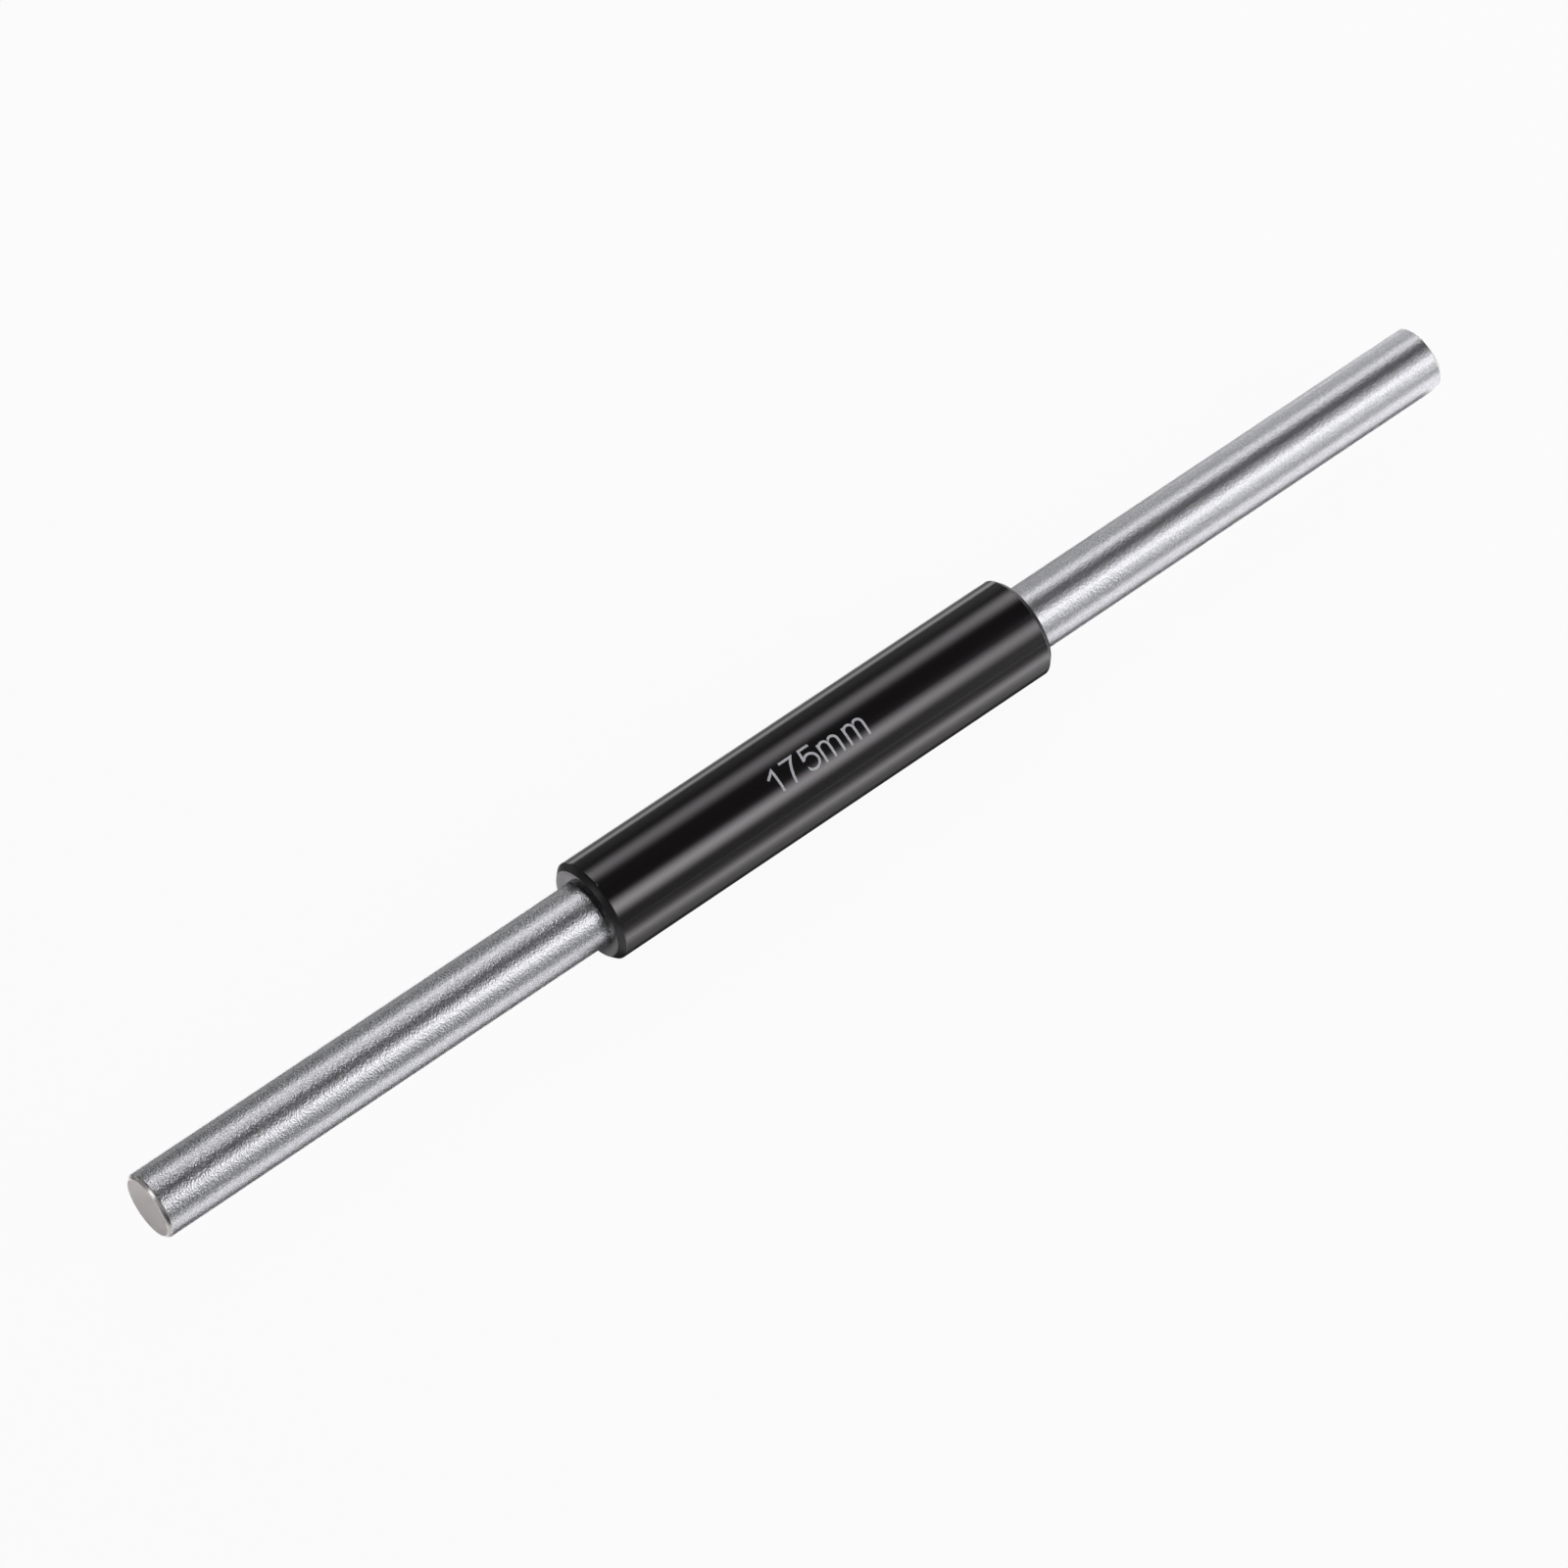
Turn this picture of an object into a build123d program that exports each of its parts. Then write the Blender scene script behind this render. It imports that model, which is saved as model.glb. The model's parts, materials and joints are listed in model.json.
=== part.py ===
from build123d import *
import os

# A micrometer setting standard of the rod type: one hardened steel bar with lapped ends,
# and a smooth insulating sleeve round its middle that keeps the warmth of the hand off
# the steel. It lies on its sleeve, as it rests on a bench.
# The measuring axis runs along X and Z is up. The origin is on the bench, under the middle
# of the sleeve. All sizes are in millimetres.

# Gauge rod
gauge_length = 175.0        # between the two measuring faces
rod_diameter = 7.7
rod_bevel = 0.4             # 45 degree bevel round each measuring face

# Insulating sleeve
sleeve_diameter = 11.9
sleeve_length = 59.5
sleeve_bevel = 0.65         # 45 degree bevel round each end
bond_gap = 0.02             # film of adhesive between rod and bore, on the radius

# The sleeve touches the bench, so the measuring axis is half its diameter above it
axis_height = sleeve_diameter / 2


def bevelled_section(length, inner_radius, outer_radius, bevel):
    """Half section of a bar or tube, as (along the axis, radius), centred on the origin."""
    half_length = length / 2
    return [
        (-half_length, inner_radius),
        (-half_length, outer_radius - bevel),
        (-half_length + bevel, outer_radius),
        (half_length - bevel, outer_radius),
        (half_length, outer_radius - bevel),
        (half_length, inner_radius),
    ]


def turned(section):
    """The solid that a half section makes when it is turned round the X axis."""
    with BuildPart() as turned_piece:
        with BuildSketch(Plane.XY):
            with BuildLine():
                Polyline(*section, close=True)
            make_face()
        revolve(axis=Axis.X)
    return turned_piece.part


def make_gauge_rod():
    """The steel bar, ground over its length and lapped square at both ends."""
    return turned(bevelled_section(gauge_length, 0, rod_diameter / 2, rod_bevel))


def make_insulating_sleeve():
    """The moulded tube, bonded round the middle of the bar."""
    bore_radius = rod_diameter / 2 + bond_gap
    section = bevelled_section(sleeve_length, bore_radius, sleeve_diameter / 2, sleeve_bevel)
    return turned(section)


nodes = {
    "gauge_rod": make_gauge_rod(),
    "insulating_sleeve": make_insulating_sleeve(),
}

os.makedirs("parts", exist_ok=True)
for name, piece in nodes.items():
    placed = Pos(0, 0, axis_height) * piece
    placed.label = name
    export_step(placed, f"parts/{name}.step")
    print(f"{name}: {placed.volume:.1f} mm3")
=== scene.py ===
import json
import math

import bmesh
import bpy
from mathutils import Matrix, Vector


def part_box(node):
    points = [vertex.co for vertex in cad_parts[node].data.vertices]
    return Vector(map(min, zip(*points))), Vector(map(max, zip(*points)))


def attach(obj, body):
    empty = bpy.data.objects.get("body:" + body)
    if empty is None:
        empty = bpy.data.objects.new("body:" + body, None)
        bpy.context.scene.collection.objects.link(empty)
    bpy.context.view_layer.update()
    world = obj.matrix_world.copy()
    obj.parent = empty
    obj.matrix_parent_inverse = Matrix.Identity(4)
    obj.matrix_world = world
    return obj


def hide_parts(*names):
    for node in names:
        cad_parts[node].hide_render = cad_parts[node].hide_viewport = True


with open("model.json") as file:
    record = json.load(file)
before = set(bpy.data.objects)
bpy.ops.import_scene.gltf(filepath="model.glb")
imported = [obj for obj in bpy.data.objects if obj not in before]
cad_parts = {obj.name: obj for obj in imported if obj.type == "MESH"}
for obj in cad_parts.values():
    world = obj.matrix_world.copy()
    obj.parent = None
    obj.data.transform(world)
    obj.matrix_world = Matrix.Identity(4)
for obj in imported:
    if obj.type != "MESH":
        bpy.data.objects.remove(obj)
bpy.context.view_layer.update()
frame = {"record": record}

# Micrometer setting standard: a ground steel rod in a glossy black sleeve, lying on a pale floor.
# Metres, X along the rod, Z up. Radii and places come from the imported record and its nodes.

mm = 0.001
mounts = {mount["name"]: mount for mount in frame["record"]["mounts"]}
axisHeight = mounts["sleeve_grip"]["pos_m"][2]
rodRadius = mounts["shank_left"]["dims"]["r_mm"] * mm
sleeveRadius = mounts["sleeve_grip"]["dims"]["r_mm"] * mm
rodLeft, rodRight = (corner.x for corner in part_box("gauge_rod"))
sleeveLeft, sleeveRight = (corner.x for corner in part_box("insulating_sleeve"))


# Small helpers

def srgb(code):    # linear colour and alpha from a hex code
    channels = [int(code[i:i + 2], 16) / 255 for i in (1, 3, 5)]
    return [c / 12.92 if c <= 0.04045 else ((c + 0.055) / 1.055) ** 2.4 for c in channels] + [1]


def addNode(tree, kind, settings=(), links=()):
    node = tree.nodes.new("ShaderNode" + kind)
    for name, value in dict(settings).items():
        if isinstance(name, int) or name in node.inputs:
            node.inputs[name].default_value = value
        else:
            setattr(node, name, value)
    for name, source in dict(links).items():
        tree.links.new(source, node.inputs[name])
    return node


def newMaterial(name):
    material = bpy.data.materials.new(name)
    material.use_nodes = True
    material.node_tree.nodes.clear()
    return material, material.node_tree


def meshPiece(name, bm, *materials):
    bmesh.ops.recalc_face_normals(bm, faces=bm.faces)
    mesh = bpy.data.meshes.new(name)
    bm.to_mesh(mesh)
    bm.free()
    for material in materials:
        mesh.materials.append(material)
    piece = bpy.data.objects.new(name, mesh)
    bpy.context.scene.collection.objects.link(piece)
    return piece


# Camera at the photograph's angle: a long lens, looking down on the rod from its left end

camera = {
    "azimuth": -39.18, "elevation": 55.10, "distance": 0.9063,
    "lens": 195.2, "sensor": 36, "farClip": 20,
    "rodRightOfAim": 2.33 * mm, "rodAboveAim": 1.73 * mm,
}


def addCamera(values):
    turn, tilt = math.radians(values["azimuth"]), math.radians(values["elevation"])
    back = Vector((math.sin(turn) * math.cos(tilt), -math.cos(turn) * math.cos(tilt), math.sin(tilt)))
    data = bpy.data.cameras.new("camera")
    data.lens = values["lens"]
    data.sensor_width = values["sensor"]
    data.clip_end = values["farClip"]
    eye = bpy.data.objects.new("camera", data)
    eye.rotation_mode = "QUATERNION"
    eye.rotation_quaternion = back.to_track_quat("Z", "Y")
    right = eye.rotation_quaternion @ Vector((1, 0, 0))
    up = eye.rotation_quaternion @ Vector((0, 1, 0))
    rodCentre = Vector((0, 0, axisHeight))
    aim = rodCentre - right * values["rodRightOfAim"] - up * values["rodAboveAim"]
    eye.location = aim + back * values["distance"]
    bpy.context.scene.collection.objects.link(eye)
    bpy.context.scene.camera = eye


addCamera(camera)
print("camera set")


# Materials

steel = {
    "bright": "#CED0D3", "dull": "#B3B5B8", "roughness": 0.315,
    # grinding marks are about 0.02 mm wide, drawn coarser and deeper so that they show
    "markAlong": 0.18 * mm, "markRound": 0.26 * mm, "markDepth": 0.042 * mm,
    "leftMarks": 1.15, "rightMarks": 0.65,     # the share of that depth: coarser at the left end
    # a few grains are worn smoother, which takes this much off the roughness and lets them sparkle
    "grain": 0.19 * mm, "wornFrom": 0.55, "wornTo": 0.63, "leftWear": 0.065, "rightWear": 0.005,
    "turned": "#C0BEBC", "turnedRoughness": 0.27, "turnedUneven": 0.04, "feed": 0.08 * mm,
    # the lapped greys are darker and warmer than the steel: painted shade of the floor the end face mirrors
    "lapped": "#8A8683", "lappedDark": "#817D7A", "lappedRoughness": 0.30,
    "lapMark": 0.25 * mm,      # lapping grit leaves 0.005 mm marks, drawn coarser
    "darkSpeck": "#3A3634", "darkSpeckSpacing": 1.1 * mm, "darkSpeckRadius": 0.07 * mm,
}
plastic = {
    "colour": "#110D10", "facedColour": "#141213", "ior": 1.54,
    "smooth": 0.12, "rubbed": 0.17,
    "coat": 1.0, "coatRoughness": 0.07, "coatIor": 1.5,    # the polished skin
    # lengthwise rubbing lines, a hair wide and as long as a stroke of the cloth
    "rubLength": 45 * mm, "rubWidth": 0.30 * mm, "rubDepth": 0.0016 * mm,
    "faced": 0.20, "facedUneven": 0.03, "bevelled": 0.36, "bevelledUneven": 0.06, "bevelGloss": 0.30,
    "ringPitch": 0.16 * mm,    # feed of the turning tool
    "speckSpacing": 0.75 * mm, "speckRadius": 0.06 * mm, "speckGloss": 0.8,
}
ink = {"thick": "#E0E3E8", "thin": "#CCCFD5", "roughness": 0.5, "mottle": 0.30 * mm}


def sizedSpace(tree, along, across):    # object coordinates with one unit for each real size given
    place = addNode(tree, "TexCoord")
    return addNode(tree, "Mapping", {"Scale": (1 / along, 1 / across, 1 / across)},
                   {"Vector": place.outputs["Object"]}).outputs[0]


def noise(tree, along, across, detail=1.0):    # even noise with grains of the real size given
    return addNode(tree, "TexNoise", {"Scale": 1.0, "Detail": detail},
                   {"Vector": sizedSpace(tree, along, across)}).outputs["Fac"]


def turned(tree, pitch, roughness, uneven):    # roughness that varies in rings round the rod's axis
    place = addNode(tree, "TexCoord")
    section = addNode(tree, "Mapping", {"Location": (0, 0, -axisHeight), "Scale": (0, 1, 1)},
                      {"Vector": place.outputs["Object"]})
    radius = addNode(tree, "VectorMath", {"operation": "LENGTH"}, {"Vector": section.outputs[0]})
    rings = addNode(tree, "TexNoise", {"noise_dimensions": "1D", "Scale": 1 / pitch, "Detail": 1.0},
                    {"W": radius.outputs["Value"]})
    return addNode(tree, "MapRange", {"To Min": roughness - uneven, "To Max": roughness + uneven},
                   {"Value": rings.outputs["Fac"]}).outputs["Result"]


def specks(tree, spacing, radius):    # 1 on the face and 0 in a few small round spots with soft edges
    cells = addNode(tree, "TexVoronoi", {"Scale": 1.0}, {"Vector": sizedSpace(tree, spacing, spacing)})
    edge = radius / spacing
    return addNode(tree, "MapRange", {"From Min": edge * 0.7, "From Max": edge},
                   {"Value": cells.outputs["Distance"]}).outputs["Result"]


def alongRod(tree, atLeft, atRight):    # a number that runs evenly from one end of the rod to the other
    place = addNode(tree, "TexCoord")
    parts = addNode(tree, "SeparateXYZ", links={"Vector": place.outputs["Object"]})
    return addNode(tree, "MapRange", {"From Min": rodLeft, "From Max": rodRight,
                                      "To Min": atLeft, "To Max": atRight},
                   {"Value": parts.outputs["X"]}).outputs["Result"]


def blend(tree, colour, other, share):    # from one colour to the other as the share goes from 0 to 1
    return addNode(tree, "Mix", {"data_type": "RGBA", 6: srgb(colour), 7: srgb(other)},
                   {"Factor": share}).outputs[2]


def finishMaterial(tree, settings, links):
    surface = addNode(tree, "BsdfPrincipled", settings, links)
    addNode(tree, "OutputMaterial", links={"Surface": surface.outputs[0]})


def groundSteel(values):
    # Hardened tool steel, cylindrically ground: a soft grey sheen, with short marks round the bar
    # that sparkle where light meets dark
    material, tree = newMaterial("groundSteel")
    marks = noise(tree, values["markAlong"], values["markRound"])
    tone = addNode(tree, "MapRange", {"From Min": 0.3, "From Max": 0.7}, {"Value": marks})
    colour = blend(tree, values["dull"], values["bright"], tone.outputs["Result"])
    height = addNode(tree, "Math", {"operation": "MULTIPLY"},
                     {0: marks, 1: alongRod(tree, values["leftMarks"], values["rightMarks"])})
    bump = addNode(tree, "Bump", {"Strength": 1.0, "Distance": values["markDepth"]},
                   {"Height": height.outputs[0]})
    worn = addNode(tree, "Math", {"operation": "SUBTRACT", 0: values["roughness"]},
                   {1: alongRod(tree, values["leftWear"], values["rightWear"])})
    rough = addNode(tree, "MapRange", {"From Min": values["wornFrom"], "From Max": values["wornTo"],
                                       "To Min": values["roughness"]},
                    {"Value": noise(tree, values["grain"], values["grain"], 0.0), "To Max": worn.outputs[0]})
    finishMaterial(tree, {"Metallic": 1.0}, {"Base Color": colour, "Roughness": rough.outputs["Result"],
                                             "Normal": bump.outputs["Normal"]})
    return material


def turnedSteel(values):
    # The same steel where the tool bevelled it: smoother and a little darker, with fine rings
    # round the axis
    material, tree = newMaterial("turnedSteel")
    rough = turned(tree, values["feed"], values["turnedRoughness"], values["turnedUneven"])
    finishMaterial(tree, {"Base Color": srgb(values["turned"]), "Metallic": 1.0}, {"Roughness": rough})
    return material


def lappedSteel(values):
    # The same steel, lapped flat: an even satin grey with no lay, darker and warmer than the steel as
    # painted shade of the floor it mirrors, and a dark speck or two
    material, tree = newMaterial("lappedSteel")
    # the lapped greys carry painted shade of the mirrored floor
    satin = blend(tree, values["lappedDark"], values["lapped"],
                  noise(tree, values["lapMark"], values["lapMark"], 2.0))
    # a few small dark specks on the face
    specked = addNode(tree, "Mix", {"data_type": "RGBA", 6: srgb(values["darkSpeck"])},
                     {"Factor": specks(tree, values["darkSpeckSpacing"], values["darkSpeckRadius"]), 7: satin})
    finishMaterial(tree, {"Metallic": 1.0, "Roughness": values["lappedRoughness"]},
                   {"Base Color": specked.outputs[2]})
    return material


def blackAbs(values):
    # ABS, moulded and polished: near black, with clear soft reflections of the lamps and
    # the faint lengthwise lines of the polishing cloth
    material, tree = newMaterial("blackAbs")
    lines = noise(tree, values["rubLength"], values["rubWidth"])
    gloss = addNode(tree, "MapRange", {"From Min": 0.3, "From Max": 0.7, "To Min": values["smooth"],
                                       "To Max": values["rubbed"]}, {"Value": lines})
    bump = addNode(tree, "Bump", {"Strength": 1.0, "Distance": values["rubDepth"]}, {"Height": lines})
    finishMaterial(tree, {"Base Color": srgb(values["colour"]), "IOR": values["ior"],
                          "Coat Weight": values["coat"], "Coat Roughness": values["coatRoughness"],
                          "Coat IOR": values["coatIor"]},
                   {"Roughness": gloss.outputs["Result"], "Normal": bump.outputs["Normal"]})
    return material


def turnedAbs(values):
    # The same ABS where the tool bevelled it: satin, so it only dims what it mirrors
    material, tree = newMaterial("turnedAbs")
    rough = turned(tree, values["ringPitch"], values["bevelled"], values["bevelledUneven"])
    finishMaterial(tree, {"Base Color": srgb(values["facedColour"]), "IOR": values["ior"],
                          "Specular IOR Level": values["bevelGloss"]}, {"Roughness": rough})
    return material


def facedAbs(values):
    # The same ABS where a keen tool faced it square: smooth enough to mirror the bench and the rod,
    # with fine rings and a few specks that were left glossier
    material, tree = newMaterial("facedAbs")
    clean = specks(tree, values["speckSpacing"], values["speckRadius"])
    share = addNode(tree, "MapRange", {"To Min": values["speckGloss"]}, {"Value": clean})
    rough = addNode(tree, "Math", {"operation": "MULTIPLY"},
                    {0: turned(tree, values["ringPitch"], values["faced"], values["facedUneven"]),
                     1: share.outputs[0]})
    finishMaterial(tree, {"Base Color": srgb(values["facedColour"]), "IOR": values["ior"]},
                   {"Roughness": rough.outputs[0]})
    return material


def paleInk(values):
    # Pad printed ink: a matt grey film, a little uneven where it went on thin
    material, tree = newMaterial("paleInk")
    film = addNode(tree, "MapRange", {"From Min": 0.3, "From Max": 0.6},
                   {"Value": noise(tree, values["mottle"], values["mottle"])})
    colour = blend(tree, values["thin"], values["thick"], film.outputs["Result"])
    finishMaterial(tree, {"Roughness": values["roughness"]}, {"Base Color": colour})
    return material


# Turned pieces: a round blank along X, bevelled and broken at the edges as on the lathe

# bevelFrom and faceFrom: how squarely a face looks along X, where it counts as bevel or end face
rod = {"bevel": 0.4 * mm, "brokenEdge": 0.05 * mm, "segments": 128, "bevelFrom": 0.5, "faceFrom": 0.99}
sleeve = {"bevel": 0.65 * mm, "brokenEdge": 0.06 * mm, "segments": 160, "bondGap": 0.02 * mm,
          "bevelFrom": 0.65, "faceFrom": 0.9}


def turnedBlank(left, right, radius, segments):
    bm = bmesh.new()
    middle = Matrix.Translation(((left + right) / 2, 0, axisHeight))
    bmesh.ops.create_cone(bm, cap_ends=True, segments=segments, radius1=radius, radius2=radius,
                          depth=right - left, matrix=middle @ Matrix.Rotation(math.pi / 2, 4, "Y"))
    return bm


def bevelEdges(bm, edges, width, steps):
    bmesh.ops.bevel(bm, geom=edges, offset=width, offset_type="OFFSET", segments=steps,
                    profile=0.5, affect="EDGES", material=-1)


def sharpEdges(bm, angle=30):
    return [edge for edge in bm.edges if edge.is_manifold and edge.calc_face_angle() > math.radians(angle)]


def endFaces(bm, values):
    return [face for face in bm.faces if abs(face.normal.x) > values["faceFrom"]]


def shadeEnds(bm, values):
    for face in bm.faces:
        if abs(face.normal.x) > values["bevelFrom"]:
            face.material_index = 1
    for face in endFaces(bm, values):
        face.material_index = 2


def smoothPiece(piece):
    piece.data.polygons.foreach_set("use_smooth", [True] * len(piece.data.polygons))
    weighted = piece.modifiers.new("weightedNormal", "WEIGHTED_NORMAL")
    weighted.mode = "FACE_AREA"
    weighted.weight = 100


def makeRod(values):
    bm = turnedBlank(rodLeft, rodRight, rodRadius, values["segments"])
    bevelEdges(bm, sharpEdges(bm), values["bevel"], 1)
    bevelEdges(bm, sharpEdges(bm), values["brokenEdge"], 2)
    shadeEnds(bm, values)
    piece = meshPiece("gaugeRod", bm, groundSteel(steel), turnedSteel(steel), lappedSteel(steel))
    smoothPiece(piece)
    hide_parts("gauge_rod")
    return piece


def makeSleeve(values):
    bm = turnedBlank(sleeveLeft, sleeveRight, sleeveRadius, values["segments"])
    bevelEdges(bm, sharpEdges(bm), values["bevel"], 1)
    caps = endFaces(bm, values)
    wall = sleeveRadius - values["bevel"] - rodRadius - values["bondGap"]
    bmesh.ops.inset_individual(bm, faces=caps, thickness=wall, use_even_offset=True)
    rims = [edge for cap in caps for edge in cap.edges]
    bmesh.ops.delete(bm, geom=caps, context="FACES_ONLY")
    bmesh.ops.bridge_loops(bm, edges=rims)
    bevelEdges(bm, sharpEdges(bm), values["brokenEdge"], 2)
    shadeEnds(bm, values)
    piece = meshPiece("insulatingSleeve", bm, blackAbs(plastic), turnedAbs(plastic), facedAbs(plastic))
    smoothPiece(piece)
    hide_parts("insulating_sleeve")
    return piece


for turnedPiece in (makeRod(rod), makeSleeve(sleeve)):
    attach(turnedPiece, "root")
print("rod and sleeve made")


# The nominal length in pale figures, drawn flat with a pen of even width and wrapped on the sleeve.
# Across the page is along the rod, up the page is round the sleeve from the camera side to the back.

mark = {
    "pen": 0.29 * mm, "capHeight": 2.87 * mm, "letterHeight": 2.30 * mm,
    "left": -6.68 * mm, "baseline": 5.60 * mm,      # as an arc up from the sleeve's front
    "figureOne": {"stem": 0.96 * mm, "flagAngle": 38, "advance": 2.04 * mm},
    "figureSeven": {"corner": 1.62 * mm, "foot": 0.59 * mm, "legAngle": 230, "advance": 2.46 * mm},
    "figureFive": {"top": 0.23 * mm, "bar": 1.33 * mm, "stem": 1.32 * mm, "stemAngle": 263,
                   "bowlMiddle": 0.84 * mm, "bowl": 0.88 * mm, "bowlFrom": 158, "bowlTurn": -317,
                   "advance": 2.33 * mm},
    "letterM": {"arch": 1.20 * mm, "stem": 2.18 * mm, "advance": 3.42 * mm},
    "film": 0.022 * mm, "sunk": 0.010 * mm, "facet": 0.2 * mm,
}
page = Vector((0, 0, 1))     # out of the page
pen = mark["pen"]


def heading(angle):
    return Vector((math.cos(math.radians(angle)), math.sin(math.radians(angle)), 0))


def stroke(x, y, angle, *moves):
    # The pen starts at x, y: ("line", length) goes straight, ("arc", radius, degrees) bends to the left
    bm = bmesh.new()
    degreesAStep = 9
    ahead, start = heading(angle), Vector((x, y, 0))
    nib = bm.edges.new([bm.verts.new(start + page.cross(ahead) * side * pen / 2) for side in (1, -1)])
    for kind, size, *bend in moves:
        if kind == "line":
            drawn = bmesh.ops.extrude_edge_only(bm, edges=[nib])["geom"]
            bmesh.ops.translate(bm, vec=ahead * size,
                                verts=[part for part in drawn if isinstance(part, bmesh.types.BMVert)])
        else:
            turn = math.radians(bend[0])
            middle = (nib.verts[0].co + nib.verts[1].co) / 2
            centre = middle + page.cross(ahead) * math.copysign(size, turn)
            drawn = bmesh.ops.spin(bm, geom=[nib, *nib.verts], cent=centre, axis=page, angle=turn,
                                   steps=max(4, round(abs(bend[0]) / degreesAStep)))["geom_last"]
            ahead = Matrix.Rotation(turn, 3, "Z") @ ahead
        nib = next(part for part in drawn if isinstance(part, bmesh.types.BMEdge))
    return bm


def cut(bm, x, y, away):    # takes off what lies beyond x, y in the direction away
    bmesh.ops.bisect_plane(bm, geom=[*bm.verts, *bm.edges, *bm.faces], plane_co=(x, y, 0),
                           plane_no=away, clear_outer=True)
    return bm


def figureOne(values):
    top, angle, stem = mark["capHeight"], values["flagAngle"], values["stem"]
    corner = Vector((stem + pen / 2, top, 0))
    start = corner + heading(angle - 90) * pen / 2
    reach = start.x / heading(angle).x
    return [cut(stroke(stem, 0, 90, ("line", top)), *corner.xy, heading(angle + 90)),
            cut(stroke(*start.xy, angle + 180, ("line", reach)), stem - pen / 2, 0, heading(0))]


def figureSeven(values):
    corner = Vector((values["corner"], mark["capHeight"] - pen / 2, 0))
    chord = Vector((values["foot"], 0, 0)) - corner
    lean = math.degrees(math.atan2(chord.y, chord.x)) % 360 - values["legAngle"]
    radius = chord.length / 2 / math.sin(math.radians(lean))
    leg = heading(values["legAngle"])
    mitre = heading(0) + leg
    start = corner - leg * 2 * pen      # the stretch before the corner is cut off
    return [cut(stroke(0, corner.y, 0, ("line", corner.x + 2 * pen)), *corner.xy, mitre),
            cut(stroke(*start.xy, values["legAngle"], ("line", 2 * pen), ("arc", radius, 2 * lean)),
                *corner.xy, -mitre)]


def figureFive(values):
    corner = Vector((values["top"], mark["capHeight"] - pen / 2, 0))
    stem = heading(values["stemAngle"])
    mitre = heading(180) + stem
    start = corner - stem * pen
    beside = corner + page.cross(stem) * pen / 2
    bowl = Vector((values["bowlMiddle"], values["bowl"] + pen / 2, 0))
    bowlStart = bowl + heading(values["bowlFrom"]) * values["bowl"]
    return [cut(stroke(corner.x + values["bar"], corner.y, 180, ("line", values["bar"] + pen)),
                *corner.xy, mitre),
            cut(stroke(*start.xy, values["stemAngle"], ("line", values["stem"] + pen)), *corner.xy, -mitre),
            cut(stroke(*bowlStart.xy, values["bowlFrom"] - 90, ("arc", values["bowl"], values["bowlTurn"])),
                *beside.xy, -page.cross(stem))]


def letterM(values):
    radius = values["arch"] / 2
    spring = mark["letterHeight"] - pen / 2 - radius     # where the arches leave the stems
    arches = [cut(stroke(left, spring, 90, ("arc", radius, -180), ("line", spring)),
                  left + pen / 2, 0, heading(180)) for left in (0, values["arch"])]
    return [stroke(0, 0, 90, ("line", values["stem"])), *arches]


def makeMark(values):
    sheet = bmesh.new()
    scratch = bpy.data.meshes.new("scratch")
    left = values["left"]
    for draw in (figureOne, figureSeven, figureFive, letterM, letterM):
        for bm in draw(values[draw.__name__]):
            bmesh.ops.translate(bm, verts=bm.verts, vec=(left, values["baseline"], 0))
            bm.to_mesh(scratch)
            bm.free()
            sheet.from_mesh(scratch)
        left += values[draw.__name__]["advance"]
    bpy.data.meshes.remove(scratch)
    for step in range(1, round(values["capHeight"] / values["facet"]) + 1):    # creases to bend along
        crease = values["baseline"] + step * values["facet"]
        bmesh.ops.bisect_plane(sheet, geom=[*sheet.verts, *sheet.edges, *sheet.faces],
                               plane_co=(0, crease, 0), plane_no=(0, 1, 0))
    film = bmesh.ops.extrude_face_region(sheet, geom=sheet.faces[:], use_keep_orig=True)["geom"]
    bmesh.ops.translate(sheet, vec=page * values["film"],
                        verts=[part for part in film if isinstance(part, bmesh.types.BMVert)])
    for vert in sheet.verts:
        x, arc, rise = vert.co
        radius, angle = sleeveRadius - values["sunk"] + rise, arc / sleeveRadius
        vert.co = (x, -math.cos(angle) * radius, axisHeight + math.sin(angle) * radius)
    piece = meshPiece("nominalMark", sheet, paleInk(ink))
    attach(piece, "root")


makeMark(mark)
print("mark made")


# Stage: a pale floor, long softboxes beside the rod, a key light overhead, two small lamps and a dim room

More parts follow.
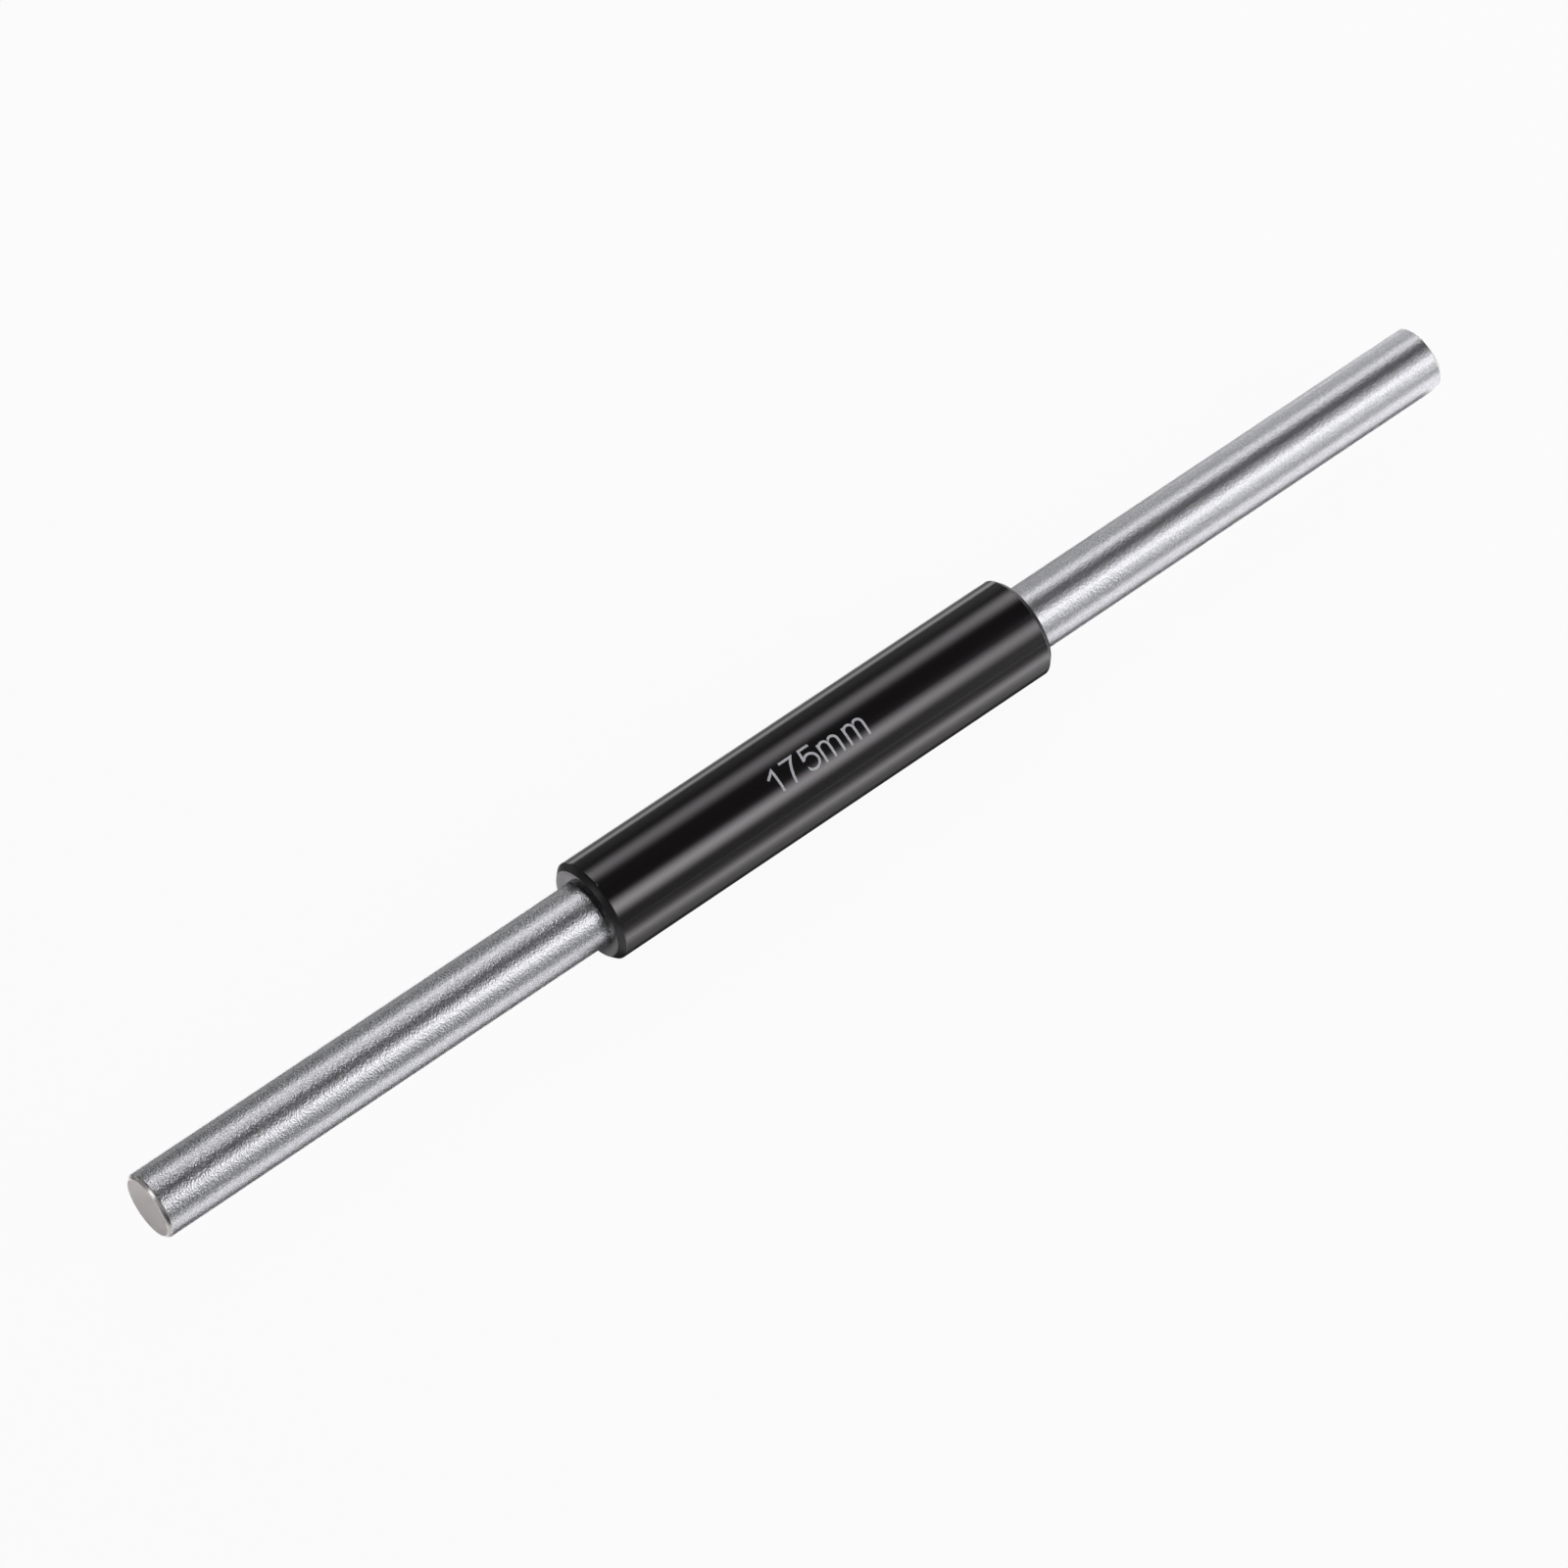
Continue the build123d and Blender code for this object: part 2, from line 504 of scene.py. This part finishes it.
floor = {
    "size": 12, "colour": "#F2F2F2",
    "whiteToCamera": 0.94,     # the rest is lit, so that the floor keeps a trace of the shadow
    # painted reflections: light and dark strips on the floor that only reflections see, some brighter than
    # white, by distance in front of (-) and behind (+) the rod; they stand in for the lamps and shade of a
    # studio, because in plain white the steel would lose its dark bands
    "paintedReflections": [(-110 * mm, 0.4), (-45 * mm, 0.55), (-27 * mm, 1.1), (-20 * mm, 2.6), (-15.5 * mm, 3.6),
              (-13 * mm, 3.2), (-10 * mm, 2.7), (4 * mm, 3.2), (6 * mm, 4.0), (11 * mm, 4.0),
              (15.5 * mm, 0.5), (30 * mm, 0.5), (38 * mm, 1.8), (90 * mm, 1.8), (125 * mm, 0.35)],
    # where it differs: how much so along the rod, and the share of the tone that is then left across it
    "paintedPatches": [
        # painted shadow of the sleeve on the floor, seen only in reflections
        ([(sleeveLeft - 1 * mm, 0), (sleeveLeft, 1), (sleeveRight + 3 * mm, 1), (sleeveRight + 4 * mm, 0)],
         [(-15 * mm, 1.0), (-8 * mm, 0.28), (8 * mm, 0.28), (15 * mm, 1.0)]),
        # painted shadow of the rod on the floor, seen only in reflections
        ([(rodLeft - 1 * mm, 0), (rodLeft, 1), (rodRight, 1), (rodRight + 1 * mm, 0)],
         [(-7.5 * mm, 1.0), (-6 * mm, 0.2), (-3.2 * mm, 0.1), (-2.8 * mm, 1.0), (-2.0 * mm, 1.0),
          (-1.0 * mm, 0.5), (4.0 * mm, 0.5), (5.5 * mm, 1.0)]),
        # painted shade on the floor before the near end, which the lower part of the bevel mirrors
        ([(rodLeft - 70 * mm, 0), (rodLeft - 55 * mm, 1), (rodLeft - 6.5 * mm, 1), (rodLeft - 4.5 * mm, 0)],
         [(-50 * mm, 1.0), (-42 * mm, 0.05), (-9.5 * mm, 0.05), (-7.5 * mm, 1.0)]),
        # painted light: the floor brighter to the right, where the lamps stand
        ([(50 * mm, 0), (90 * mm, 1)],
         [(-110 * mm, 2.0), (-45 * mm, 2.2), (-27 * mm, 1.0), (14 * mm, 1.0), (20 * mm, 3.0),
          (60 * mm, 1.5)]),
    ],
}
softboxes = [
    # angle up from the camera side, round the rod's axis, and brightness from the left end to the right
    {"name": "frontSoftbox", "angle": 40, "reach": 0.60, "middle": 0.43, "length": 0.86, "width": 0.60,
     "radiance": 2.8, "fade": 1.6,
     "along": [(0, 0.94), (0.17, 0.94), (0.20, 1.0), (0.25, 1.0), (0.32, 0.7), (0.40, 0.74), (1, 0.74)]},
    {"name": "backSoftbox", "angle": 124, "reach": 0.60, "middle": 0.45, "length": 0.90, "width": 0.60,
     "radiance": 1.35, "fade": 1.6,
     "along": [(0, 1.7), (0.18, 1.7), (0.205, 0.78), (0.26, 0.9), (0.31, 0.97), (0.335, 1.75),
               (0.38, 1.6), (0.44, 1.25), (1, 1.0)]},
]
spots = [
    {"name": "keyLight", "place": (0.05, 0.09, 0.59), "size": 0.066, "radiance": 10.5},
    {"name": "farLight", "place": (0.40, -0.25, 0.55), "size": 0.14, "radiance": 1.2},
    {"name": "edgeLight", "place": (-0.64, 0.11, 0.20), "size": 0.18, "radiance": 2.8},
]
lampTint = (1.0, 0.965, 0.99)
room = {
    # brightness at the height of the bench, from the left (-1) to the right (1), and overhead
    "horizon": [(-1, 0.60), (-0.60, 0.60), (-0.35, 0.20), (0.35, 0.20), (0.40, 0.22), (0.44, 1.7),
                (0.48, 2.9), (0.62, 2.9), (0.72, 0.2), (1, 0.15)],
    "behind": 0.75,      # the share of it on the side away from the camera
    "overhead": 0.06,
    "turnsOver": 0.2, "lowEdge": 0.1, "highEdge": 0.7,     # where the one passes into the other
}


def areaLamp(name, length, width, radiance, matrix):
    data = bpy.data.lights.new(name, "AREA")
    data.shape = "RECTANGLE"
    data.size, data.size_y = length, width
    data.energy = radiance * math.pi * length * width
    data.color = lampTint
    lamp = bpy.data.objects.new(name, data)
    lamp.matrix_world = matrix
    lamp.visible_camera = False
    bpy.context.scene.collection.objects.link(lamp)
    return data


def ramp(tree, source, stops):    # a grey that follows a number through the stops given
    first, last = stops[0][0], stops[-1][0]
    share = addNode(tree, "MapRange", {"From Min": first, "From Max": last}, {"Value": source})
    node = addNode(tree, "ValToRGB", links={"Fac": share.outputs["Result"]})
    for place, _ in stops[1:-1]:
        node.color_ramp.elements.new((place - first) / (last - first))
    for element, (place, tone) in zip(node.color_ramp.elements, stops):
        element.color = (tone, tone, tone, 1)
    return node


def addSoftbox(values):
    angle = math.radians(values["angle"])
    place = Matrix.Translation((values["middle"], -math.cos(angle) * values["reach"],
                                axisHeight + math.sin(angle) * values["reach"]))
    data = areaLamp(values["name"], values["length"], values["width"], values["radiance"],
                    place @ Matrix.Rotation(math.pi / 2 - angle, 4, "X"))
    data.use_nodes = True    # the cloth is bright along its middle and fades to its long edges
    tree = data.node_tree
    tree.nodes.clear()
    cloth = addNode(tree, "NewGeometry")
    parts = addNode(tree, "SeparateXYZ", links={"Vector": cloth.outputs["Parametric"]})
    offset = addNode(tree, "Math", {"operation": "SUBTRACT", 1: 0.5}, {0: parts.outputs["Y"]})
    away = addNode(tree, "Math", {"operation": "ABSOLUTE"}, {0: offset.outputs[0]})
    near = addNode(tree, "MapRange", {"interpolation_type": "SMOOTHSTEP", "From Min": 0.5, "From Max": 0.0},
                   {"Value": away.outputs[0]})
    centred = addNode(tree, "Math", {"operation": "POWER", 1: values["fade"]}, {0: near.outputs["Result"]})
    along = ramp(tree, parts.outputs["X"], values["along"])
    glow = addNode(tree, "Emission", links={"Color": along.outputs["Color"], "Strength": centred.outputs[0]})
    addNode(tree, "OutputLight", links={"Surface": glow.outputs[0]})


def addSpot(values):
    place = Vector(values["place"])
    turn = place.to_track_quat("Z", "Y").to_matrix().to_4x4()
    areaLamp(values["name"], values["size"], values["size"], values["radiance"],
             Matrix.Translation(place) @ turn)


def toCamera(tree, seen, mirrored):    # one shader for the camera's own rays and one for all others
    sight = addNode(tree, "LightPath")
    return addNode(tree, "MixShader", links={0: sight.outputs["Is Camera Ray"], 1: mirrored.outputs[0],
                                             2: seen.outputs[0]}).outputs[0]


def addFloor(values):
    bm = bmesh.new()
    bmesh.ops.create_grid(bm, x_segments=1, y_segments=1, size=values["size"] / 2)
    material, tree = newMaterial("paleFloor")
    sheet = addNode(tree, "TexCoord")
    parts = addNode(tree, "SeparateXYZ", links={"Vector": sheet.outputs["Object"]})
    # painted reflections: the floor's painted strips of light and shade, for rays other than the camera's
    paintedReflections = ramp(tree, parts.outputs["Y"], values["paintedReflections"])
    paper = addNode(tree, "BsdfDiffuse", {"Color": srgb(values["colour"])})
    level = paintedReflections.outputs["Color"]
    # painted shadows of the sleeve and rod, painted shade before the near end and painted light to the
    # right, laid over those strips
    for along, across in values["paintedPatches"]:
        patched = addNode(tree, "Mix", {"data_type": "RGBA", "blend_type": "MULTIPLY"},
                          {"Factor": ramp(tree, parts.outputs["X"], along).outputs["Color"], 6: level,
                           7: ramp(tree, parts.outputs["Y"], across).outputs["Color"]})
        level = patched.outputs[2]
    strips = addNode(tree, "BsdfDiffuse", links={"Color": level})
    white = addNode(tree, "Emission", {"Strength": 1.0})
    seen = addNode(tree, "MixShader", {0: values["whiteToCamera"]},
                   {1: paper.outputs[0], 2: white.outputs[0]})
    addNode(tree, "OutputMaterial", links={"Surface": toCamera(tree, seen, strips)})
    meshPiece("floor", bm, material)


def setRoom(values):
    world = bpy.data.worlds.new("room")
    bpy.context.scene.world = world
    world.use_nodes = True
    tree = world.node_tree
    tree.nodes.clear()
    direction = addNode(tree, "TexCoord")
    parts = addNode(tree, "SeparateXYZ", links={"Vector": direction.outputs["Generated"]})
    horizon = ramp(tree, parts.outputs["X"], values["horizon"])
    behind = addNode(tree, "MapRange", {"From Min": -values["turnsOver"], "From Max": values["turnsOver"],
                                        "To Min": 1.0, "To Max": values["behind"]},
                     {"Value": parts.outputs["Y"]})
    low = addNode(tree, "Math", {"operation": "MULTIPLY"},
                  {0: horizon.outputs["Color"], 1: behind.outputs[0]})
    height = addNode(tree, "MapRange", {"interpolation_type": "SMOOTHSTEP", "From Min": values["lowEdge"],
                                        "From Max": values["highEdge"], "To Max": values["overhead"]},
                     {"Value": parts.outputs["Z"], "To Min": low.outputs[0]})
    dim = addNode(tree, "Background", links={"Strength": height.outputs["Result"]})
    white = addNode(tree, "Background", {"Strength": 1.0})
    addNode(tree, "OutputWorld", links={"Surface": toCamera(tree, white, dim)})


addFloor(floor)
for softbox in softboxes:
    addSoftbox(softbox)
for spot in spots:
    addSpot(spot)
setRoom(room)
bpy.context.scene.view_settings.view_transform = "Standard"
print("stage set")
